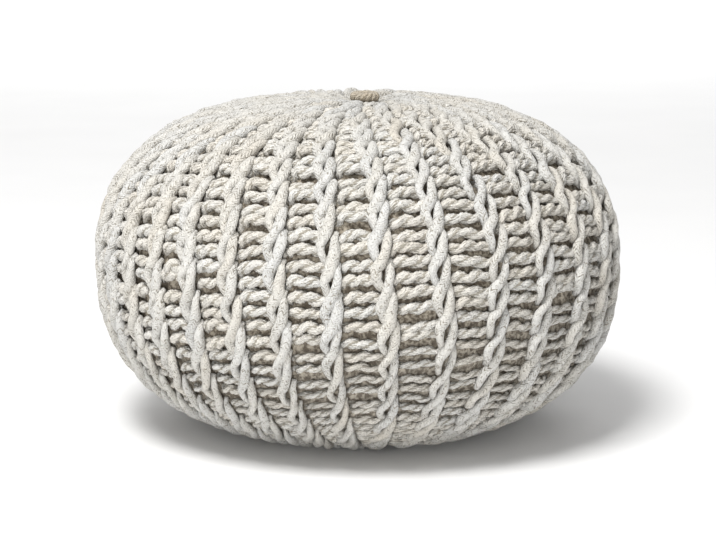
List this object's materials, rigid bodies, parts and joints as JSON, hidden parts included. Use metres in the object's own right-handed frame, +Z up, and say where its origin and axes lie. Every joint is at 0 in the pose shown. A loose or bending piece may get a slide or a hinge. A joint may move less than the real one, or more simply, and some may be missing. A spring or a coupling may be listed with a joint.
{
  "type": "knitted pouf",
  "caption": "Round knitted pouf: a filled cotton-cord cover with raised wales, gathered at the crown around a ring of twisted cord, on a flat foot.",
  "frame": {"origin": "on the floor under the middle of the pouf's outline", "axes": "+Z up from the foot to the gathered crown, -Y towards the front that the picture shows, +X to its right"},
  "size_m": [0.4994, 0.499, 0.3136],
  "materials": {
    "knit_cover": "matte off-white twisted cotton cord, hand knitted",
    "gather_cord": "matte tan twisted cord"
  },
  "bodies": {
    "root": {"knit_cover": "knit_cover", "gather_cord": "gather_cord"}
  },
  "joints": []
}
